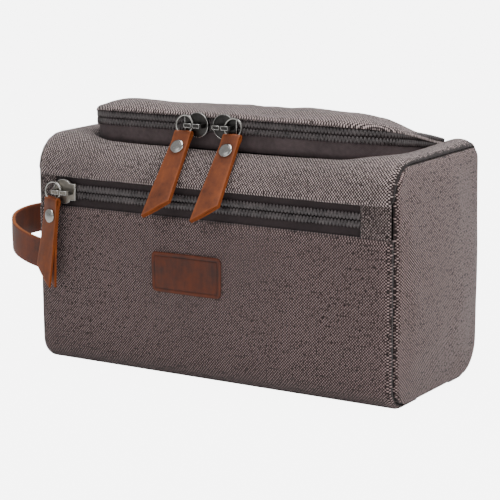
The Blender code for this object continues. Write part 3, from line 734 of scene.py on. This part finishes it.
pocket_low, pocket_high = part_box("pocket_zip_upper_coil")
pocket_left, pocket_right = pocket_low[0] - 0.0006, pocket_high[0] + 0.0006
pocket_z = pocket_low[2] - 0.0005
pocket_coil_y = pocket_low[1] + 0.0009
pocket_tape_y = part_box("pocket_zip_upper_tape")[0][1] + 0.0003
pocket_run = pocket_right - pocket_left
# The pocket's tape is the same tape painted darker, as painted shade behind the slot.
pocket_tape_painted_shade = tape_finish("pocket_zip_tape_shaded", rgb(22, 16, 17), rgb(62, 52, 53))
straight = [(Vector((pocket_left + pocket_run * i / 120, pocket_tape_y)), Vector((0.0, -1.0)), pocket_run * i / 120)
            for i in range(121)]
tape_bottom, tape_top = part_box("pocket_zip_lower_tape")[0][2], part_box("pocket_zip_upper_tape")[1][2]
ribbon("pocket_zip_lower_tape_cloth", straight, lambda y: tape_bottom, lambda y: pocket_z - 0.0001, pocket_tape_painted_shade,
       "pocket_zip_lower_tape", "bag")
ribbon("pocket_zip_upper_tape_cloth", straight, lambda y: pocket_z + 0.0001, lambda y: tape_top, pocket_tape_painted_shade,
       "pocket_zip_upper_tape", "bag")
pocket_frames = [(Vector((pocket_left + pocket_run * i / 40, pocket_coil_y, pocket_z)), Vector((0.0, -1.0, 0.0)), up,
                  pocket_run * i / 40) for i in range(41)]
coil("pocket_zip_lower_coil_wound", pocket_frames, -1, "pocket_zip_lower_coil", "bag")
coil("pocket_zip_upper_coil_wound", pocket_frames, 1, "pocket_zip_upper_coil", "bag")

stop_cloth = canvas_finish("zip_end_canvas", 0.02, 1.3, rgb(186, 166, 163))
for side in ("left", "right"):
    stop_low, stop_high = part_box(f"pocket_end_tab_{side}")

    def stop_at(s, t, low=stop_low, high=stop_high):
        x = low[0] + (high[0] - low[0]) * s
        z = low[2] + (high[2] - low[2]) * t
        from_edge = min(x - low[0], high[0] - x, z - low[2] + 0.001, high[2] - z + 0.001)
        y = front_y + rolled(from_edge, 0.0010) + creases(x, front_y, z) * 0.4
        return Vector((x, y, z)), (x, z), max(0.0, 1 - from_edge / 0.002) * 0.2

    sewn_panel(f"pocket_zip_end_{side}", 14, 16, stop_at, stop_cloth, f"pocket_end_tab_{side}", "bag")

# --- Leather pulls -----------------------------------------------------------------------------------------
# Each pull is one strap of oiled orange-brown leather folded over its ring, cut to a slant and held by a rivet.
# The folded halves part a little towards the cut end, most of all on the pocket's pull.


def leather_finish(name, bright, dark, scale=1.0, roughness=0.50):
    """Oiled full-grain leather: cloudy pull-up patches, darker pores and a pale worn line where it bends."""
    finish, shader, place = new_finish(name, roughness, Specular_IOR_Level=0.42, Coat_Weight=0.06)
    clouds = place.noise(95.0 / scale, 5.0, 0.65)
    streaks = place.add("ShaderNodeMapping", None, {"Vector": place, "Scale": (500.0, 500.0, 70.0)}).noise(1.0, 3.0)
    pores = place.add("ShaderNodeTexVoronoi", None, {"Vector": place, "Scale": 1900.0})
    grain = place.noise(2600.0)
    wear = place.add("ShaderNodeAttribute", {"attribute_name": "wear"}, output=2)
    tone = (clouds - 0.5) * 1.5 + (streaks - 0.5) * 0.5 + (grain - 0.5) * 0.35 + wear * 0.55 + 0.45
    connect(shader, Base_Color=tone.clamped().blend_to(dark, bright))
    connect(shader, Roughness=(clouds * 0.35 + roughness - 0.14).clamped(0.2, 0.9))
    connect(shader, Normal=(pores * 0.5 + grain * 0.5 + clouds * 0.6).bump(0.35, 0.00016))
    return finish


def cut_edge_finish(name, bright, dark):
    """The raw cut side of leather, with its fibrous layers showing."""
    finish, shader, place = new_finish(name, 0.72, Specular_IOR_Level=0.25)
    fibres = place.noise(1500.0, 4.0)
    connect(shader, Base_Color=(fibres * 0.6 + place.noise(160.0) * 0.5 - 0.05).clamped().blend_to(dark, bright))
    connect(shader, Normal=fibres.bump(0.5, 0.0002))
    return finish


def cut_from_leather(piece, worn, face, edge, thickness, softened=0.0, offset=0):
    """Gives a flat shape its worn places, its two finishes, its thickness and soft edges."""
    piece.data.attributes.new("wear", "FLOAT", "POINT").data.foreach_set("value", worn)
    piece.data.materials.append(face)
    piece.data.materials.append(edge)
    wall = piece.modifiers.new("leather", "SOLIDIFY")
    wall.thickness = thickness
    wall.offset = offset
    wall.material_offset_rim = 1
    bpy.ops.object.modifier_apply(modifier="leather")
    if softened:
        bevel = piece.modifiers.new("softened", "BEVEL")
        bevel.width = softened
        bevel.segments = 2
        bevel.angle_limit = radians(50)
        bpy.ops.object.modifier_apply(modifier="softened")
    bpy.ops.object.shade_smooth()


pull_leather = leather_finish("pull_leather", rgb(136, 68, 26), rgb(64, 26, 8))
pull_edge = cut_edge_finish("pull_leather_edge", rgb(158, 78, 24), rgb(56, 22, 6))
joint_places = {joint["name"]: Vector(joint["pos_m"]) for joint in frame["joints"] if "pos_m" in joint}
ply = 0.00155


def folded_strap(name, place, long_side, spread, long_end):
    """A strap folded over a ring: place turns its own frame, with the ring at the origin and -Z down the strap."""
    top_width, end_width, short_end = 0.0118, 0.0158, long_end - 0.0118
    fold_z, fold_radius = 0.0001, ply / 2 + 0.0007
    bpy.ops.object.select_all(action="DESELECT")
    bpy.ops.mesh.primitive_grid_add(x_subdivisions=14, y_subdivisions=110, size=1.0)
    strap = bpy.context.object
    strap.name = name
    worn = []
    for vertex in strap.data.vertices:
        across, along = vertex.co.x * 2, vertex.co.y * 2
        side = 1.0 if along > 0 else -1.0
        reach = abs(along)
        end = (long_end + short_end) / 2 + across * long_side * (long_end - short_end) / 2
        if reach < 0.12:
            turn = (1 - reach / 0.12) * pi / 2
            z = fold_z + fold_radius * sin(turn)
            y = fold_radius * cos(turn)
        else:
            share = (reach - 0.12) / 0.88
            z = fold_z - (end + fold_z) * share
            closing = min(max((fold_z - z) / 0.0065, 0.0), 1.0)
            closing = closing * closing * (3 - 2 * closing)
            y = fold_radius + (ply / 2 + 0.00004 - fold_radius) * closing
            below = min(max((-z - 0.016) / 0.042, 0.0), 1.0)
            y += spread * below ** 1.6 * (0.35 if side < 0 else 1.0)
        width = top_width + (end_width - top_width) * min(max(-z / long_end, 0.0), 1.0)
        bow = 0.00035 * noise.noise(Vector((z * 60, across, side + long_side)))
        cup = -0.00030 * across * across * side
        spot = Vector((across * width / 2, y * side + bow + cup, z))
        vertex.co = place @ spot
        edge = min(1 - abs(across), (end + z) / (width / 2))
        worn.append(max(0.0, 1 - edge / 0.22) * 0.9 + (0.5 if reach < 0.1 else 0.0))
    cut_from_leather(strap, worn, pull_leather, pull_edge, ply, 0.00022)
    return strap


pulls = {
    "main_left": (Matrix.Rotation(radians(-36.5), 4, "X"), -1, 0.0005),
    "main_right": (Matrix.Rotation(radians(-36.5), 4, "X"), -1, 0.0005),
    "pocket": (Matrix.Rotation(radians(5.5), 4, "Y") @ Matrix.Rotation(radians(-6), 4, "X")
               @ Matrix.Rotation(radians(-16), 4, "Z") @ Matrix.Rotation(radians(1), 4, "X"), 1, 0.0030)}
for pull_name, (turn, long_side, spread) in pulls.items():
    hung = Matrix.Translation(joint_places[f"{pull_name}_tab_swing"]) @ turn
    strap_length = 0.0548 if pull_name == "pocket" else 0.0580
    strap = folded_strap(f"{pull_name}_pull_strap", hung, long_side, spread, strap_length)
    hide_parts(f"{pull_name}_tab")
    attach(strap, f"{pull_name}_tab")

# --- Side handle -------------------------------------------------------------------------------------------
# A wider strap of the same leather, bowed out from the left end and caught in the seams at front and back.

handle_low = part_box("side_handle")[0]
handle_leather = leather_finish("handle_leather", rgb(118, 54, 24), rgb(48, 20, 9), 1.3, 0.58)
handle_edge = cut_edge_finish("handle_leather_edge", rgb(176, 104, 58), rgb(96, 48, 24))
handle_width = 0.0195


def handle_spot(share):
    """The strap's middle line, from its front seam round to its back seam."""
    angle = pi * share
    bow = sin(angle) ** 0.9
    start = -half_length - 0.0012
    x = start - (-handle_low[0] - 0.0013 + start) * bow
    y = -0.0535 * cos(angle)
    return Vector((x, y, 0.0680 + 0.0100 * sin(angle)))


bpy.ops.object.select_all(action="DESELECT")
bpy.ops.mesh.primitive_grid_add(x_subdivisions=72, y_subdivisions=12, size=1.0)
handle = bpy.context.object
handle.name = "handle_strap"
handle_wear = []
for vertex in handle.data.vertices:
    share, height = vertex.co.x + 0.5, vertex.co.y
    middle = handle_spot(share)
    ahead = handle_spot(min(share + 0.01, 1.0)) - handle_spot(max(share - 0.01, 0.0))
    outwards = Vector((-ahead.y, ahead.x, 0)).normalized()
    outwards = outwards if outwards.x < 0 or abs(share - 0.5) > 0.45 else -outwards
    sway = 0.0005 * noise.noise(Vector((share * 7, height * 1.5, 8.2)))
    vertex.co = middle + Vector((0, 0, height * handle_width)) + outwards * sway
    handle_wear.append(max(0.0, 1 - (0.5 - abs(height)) / 0.10) * 0.7)
cut_from_leather(handle, handle_wear, handle_leather, handle_edge, 0.0024, 0.0005)
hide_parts("side_handle")
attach(handle, "bag")

# --- Front patch -------------------------------------------------------------------------------------------
# A blank leather patch with rounded corners, glued flat, with a pressed line a little way in from its edge.

patch_low, patch_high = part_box("front_patch")
patch_leather = leather_finish("patch_leather", rgb(100, 42, 12), rgb(42, 15, 5), 0.9, 0.62)
patch_edge = cut_edge_finish("patch_leather_edge", rgb(150, 74, 28), rgb(84, 36, 12))
patch_centre = (patch_low + patch_high) / 2 + Vector((0.0022, 0, 0.0015))
patch_half = (patch_high - patch_low) / 2
patch_radius = 0.003
pressed_line = 0.0024

bpy.ops.object.select_all(action="DESELECT")
bpy.ops.mesh.primitive_grid_add(x_subdivisions=150, y_subdivisions=76, size=2.0)
patch = bpy.context.object
patch.name = "leather_patch"
patch_wear = []
for vertex in patch.data.vertices:
    x, z = vertex.co.x * patch_half.x, vertex.co.y * patch_half.z
    past_x = abs(x) - (patch_half.x - patch_radius)
    past_z = abs(z) - (patch_half.z - patch_radius)
    if past_x > 0 and past_z > 0:
        squeeze = max(past_x, past_z) / sqrt(past_x**2 + past_z**2)
        x = (abs(x) - past_x + past_x * squeeze) * (1 if x > 0 else -1)
        z = (abs(z) - past_z + past_z * squeeze) * (1 if z > 0 else -1)
        from_edge = patch_radius - max(past_x, past_z)
    else:
        from_edge = min(patch_half.x - abs(x), patch_half.z - abs(z))
    groove = max(0.0, 1 - ((from_edge - pressed_line) / 0.0006) ** 2)
    sink = 0.00035 * groove + rolled(from_edge, 0.0005)
    above_cloth = Vector((patch_centre.x + x, front_y - 0.02, patch_centre.z + z))
    cloth = bpy.data.objects["front_canvas"].ray_cast(above_cloth, Vector((0, 1, 0)))[1]
    vertex.co = (above_cloth.x, cloth.y - 0.0016 + sink, above_cloth.z)
    patch_wear.append(max(0.0, 1 - from_edge / 0.0022) * 0.45 - 0.5 * groove)
cut_from_leather(patch, patch_wear, patch_leather, patch_edge, 0.0016, offset=-1)
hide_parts("front_patch")
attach(patch, "bag")

# --- Zip sliders, rings and rivets -------------------------------------------------------------------------
# Cast sliders in dark gunmetal with a painted highlight in bright metal round the plate's rim and along the bridge
# that holds the ring, plain steel wire rings, and polished domed rivets through the leather.


def metal_finish(name, low, high, roughness, scale=1.0):
    """Plated metal with fine handling marks and a little tarnish."""
    finish, shader, place = new_finish(name, roughness, Metallic=1.0)
    tarnish = place.noise(300.0 / scale, 4.0)
    marks = place.noise(1800.0 / scale)
    connect(shader, Base_Color=(tarnish * 0.7 + marks * 0.3).clamped().blend_to(low, high))
    connect(shader, Roughness=(tarnish * 0.30 + marks * 0.10 + roughness - 0.18).clamped(0.06, 0.9))
    connect(shader, Normal=marks.bump(0.18, 0.00008))
    return finish


gunmetal = metal_finish("slider_gunmetal", rgb(30, 29, 29), rgb(84, 82, 80), 0.34)
grey_metal = metal_finish("slider_grey", rgb(84, 81, 76), rgb(156, 150, 140), 0.36)
# Painted highlight: bright metal laid round the plate's rim and the bridge's windows where the light catches them.
rim_highlight_metal = metal_finish("slider_rim_highlight", rgb(150, 148, 145), rgb(215, 213, 210), 0.22)
ring_steel = metal_finish("ring_steel", rgb(120, 118, 114), rgb(205, 202, 197), 0.20)
rivet_polish = metal_finish("rivet_polish", rgb(128, 126, 124), rgb(196, 194, 190), 0.16, 2.0)


def slider_outline(nose, steps=9):
    """The slider's plate: a straight tail, small shoulders and a round nose towards nose."""
    tail, crest, length = 0.0052, 0.00775, 0.0170
    upper = [(-length / 2, tail), (-0.0046, tail), (-0.0041, tail + 0.0004)]
    for i in range(steps + 1):
        angle = radians(128) * (1 - i / steps)
        upper.append((length / 2 - crest + crest * cos(angle), crest * sin(angle)))
    lower = [(x, -z) for x, z in reversed(upper[:-1])]
    return [(x * nose, z) for x, z in upper + lower]


def loop_tube(bm, points, radius, slot, sides=6):
    """A closed wire through points, in the XZ plane."""
    rings = []
    for i, point in enumerate(points):
        ahead = (points[(i + 1) % len(points)] - points[i - 1]).normalized()
        across = Vector((ahead.z, 0, -ahead.x))
        rings.append([bm.verts.new(point + (across * cos(tau * j / sides) + Vector((0, 1, 0)) * sin(tau * j / sides))
                                   * radius) for j in range(sides)])
    for i in range(len(rings)):
        here, there = rings[i], rings[(i + 1) % len(rings)]
        for j in range(sides):
            face = bm.faces.new((here[j], here[(j + 1) % sides], there[(j + 1) % sides], there[j]))
            face.material_index = slot
            face.smooth = True


for pull_name, nose in (("main_left", 1), ("main_right", -1), ("pocket", -1)):
    low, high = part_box(f"{pull_name}_slider")
    middle = (low + high) / 2
    plate_y = low[1] + 0.0056
    plating = grey_metal if pull_name == "pocket" else gunmetal
    bm = bmesh.new()
    dome = []
    outline = slider_outline(nose)
    for shrink, depth in ((1.0, 0.0016), (1.0, 0.0004), (0.96, 0.0), (0.82, -0.0002), (0.5, -0.0003)):
        dome.append([bm.verts.new((middle.x + x * shrink, plate_y + depth, middle.z + z * shrink))
                     for x, z in outline])
    for near, far in zip(dome, dome[1:]):
        for i in range(len(outline)):
            bm.faces.new((near[i], near[(i + 1) % len(outline)], far[(i + 1) % len(outline)], far[i])).smooth = True
    bm.faces.new(dome[-1])
    bm.faces.new(list(reversed(dome[0])))
    # Painted highlight: a thin tube of the bright metal round the plate's rim, and round the two windows below.
    rim = [Vector((middle.x + x * 0.985, plate_y - 0.00005, middle.z + z * 0.985)) for x, z in outline]
    loop_tube(bm, rim, 0.00026, 1)
    bmesh.ops.recalc_face_normals(bm, faces=bm.faces)
    boxes = [((0.0, -0.0050, 0.0), (0.0140, 0.0012, 0.0027)), ((-0.0064, -0.0022, 0.0), (0.0013, 0.0058, 0.0027)),
             ((0.0064, -0.0022, 0.0), (0.0013, 0.0058, 0.0027)), ((0.0, 0.0022, 0.0), (0.0050, 0.0040, 0.0005)),
             ((0.0, 0.0040, 0.0), (0.0134, 0.0008, 0.0068))]
    for spot, size in boxes:
        made = bmesh.ops.create_cube(bm, size=1.0)["verts"]
        bmesh.ops.scale(bm, verts=made, vec=size)
        bmesh.ops.translate(bm, verts=made, vec=(middle.x + spot[0], plate_y + spot[1], middle.z + spot[2]))
        edges = list({edge for vertex in made for edge in vertex.link_edges})
        bmesh.ops.bevel(bm, geom=edges, offset=min(size) * 0.25, segments=2, affect="EDGES", profile=0.5)
    for window in (-0.0031, 0.0031):
        loop_tube(bm, [Vector((middle.x + window + x * 0.0024, plate_y - 0.0057, middle.z + z * 0.0011)) for x, z in (
            (-1, -1), (0, -1), (1, -1), (1, 0), (1, 1), (0, 1), (-1, 1), (-1, 0))], 0.00022, 1)
    mesh = bpy.data.meshes.new(f"{pull_name}_slider_cast")
    bm.to_mesh(mesh)
    bm.free()
    mesh.materials.append(plating)
    mesh.materials.append(rim_highlight_metal)
    cast = bpy.data.objects.new(mesh.name, mesh)
    bpy.context.scene.collection.objects.link(cast)
    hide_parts(f"{pull_name}_slider")
    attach(cast, f"{pull_name}_slider")
    for part, plating in (("ring", ring_steel), ("rivet", rivet_polish)):
        carried = bpy.data.objects[f"{pull_name}_{part}"]
        carried.data.materials.clear()
        carried.data.materials.append(plating)

# --- Linings -----------------------------------------------------------------------------------------------
# Thin dark nylon hangs inside: an open bag for the main compartment, a sheet under the lid and one behind the
# front pocket. A fibre board stiffens the floor below it.


def lining_finish(name, low, high):
    """Smooth close-woven nylon with a faint ripstop grid."""
    finish, shader, place = new_finish(name, 0.62, Sheen_Weight=0.10)
    lengthwise, _, upright = place.split()
    grid_x = (lengthwise * (tau / 0.0045)).math("COSINE") ** 12
    grid_z = (upright * (tau / 0.0045)).math("COSINE") ** 12
    folds = place.noise(60.0, 4.0)
    weave = place.noise(2400.0, 1.0)
    tone = (folds - 0.5) * 0.9 + (weave - 0.5) * 0.5 + grid_x * 0.10 + grid_z * 0.10 + 0.45
    connect(shader, Base_Color=tone.clamped().blend_to(low, high))
    connect(shader, Normal=(weave + folds * 2.0 + grid_x + grid_z).bump(0.3, 0.0002))
    return finish


nylon = lining_finish("lining_nylon", rgb(36, 33, 33), rgb(86, 81, 80))
inside_low, inside_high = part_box("main_lining")
inside_centre = (inside_low + inside_high) / 2
inside_half = (inside_high - inside_low) / 2


def inside_at(s, t):
    """A rounded open box, from the middle of its floor outwards and up its walls."""
    angle = tau * s
    toward = Vector((cos(angle), sin(angle)))
    squared = (abs(toward.x) ** 9 + abs(toward.y) ** 9) ** (-1 / 9)
    out = toward * squared
    corner, floor_share = 0.012, 0.40
    if t < floor_share:
        reach, z = t / floor_share * 0.93, inside_low.z + 0.0004
    else:
        up = (t - floor_share) / (1 - floor_share)
        turn = min(up / 0.15, 1.0) * pi / 2
        reach = 0.93 + 0.07 * sin(turn)
        wall_height = inside_high.z - inside_low.z - corner
        z = inside_low.z + corner * (1 - cos(turn)) + wall_height * max(up - 0.15, 0) / 0.85
    x = inside_centre.x + (inside_half.x - 0.0012) * reach * out.x
    y = inside_centre.y + (inside_half.y - 0.0012) * reach * out.y
    sag = 0.8 * abs(creases(x * 1.4, y * 1.4, z)) * (1.0 if t > floor_share else 0.2)
    return Vector((x - out.x * sag, y - out.y * sag, z + (sag if t < floor_share else 0))), (s, t), 0.0


def lid_inside_at(s, t):
    point, flat, worn = lid_cloth_at(s, t)
    point = Vector((point.x * 0.955, lid_front + 0.0045 + (point.y - lid_front) * 0.935, point.z - 0.0046))
    return point + Vector((0, 0, 0.5 * creases(point.x, point.y * 2, 0.9))), flat, worn


def pocket_inside_at(s, t):
    low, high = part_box("pocket_lining")
    point = Vector((low.x + (high.x - low.x) * s, low.y + 0.0002, low.z + (high.z - low.z) * t))
    point.y += 0.2 * creases(point.x, 0.2, point.z)
    return point, (s, t), 0.0


for cloth_name, columns, rows, place, node, body in (
        ("main_lining_cloth", 128, 50, inside_at, "main_lining", "bag"),
        ("lid_lining_cloth", 70, 36, lid_inside_at, "lid_lining", "lid"),
        ("pocket_lining_cloth", 80, 36, pocket_inside_at, "pocket_lining", "bag")):
    cloth = sewn_panel(cloth_name, columns, rows, place, nylon, node, body, 0.0005)

fibre_board, board_shader, board_place = new_finish("stiffener_board", 0.85)
board_fibre = board_place.noise(700.0, 5.0)
connect(board_shader, Base_Color=board_fibre.blend_to(rgb(96, 84, 70), rgb(150, 134, 112)))
connect(board_shader, Normal=board_fibre.bump(0.3, 0.0002))
bpy.data.objects["base_board"].data.materials.clear()
bpy.data.objects["base_board"].data.materials.append(fibre_board)
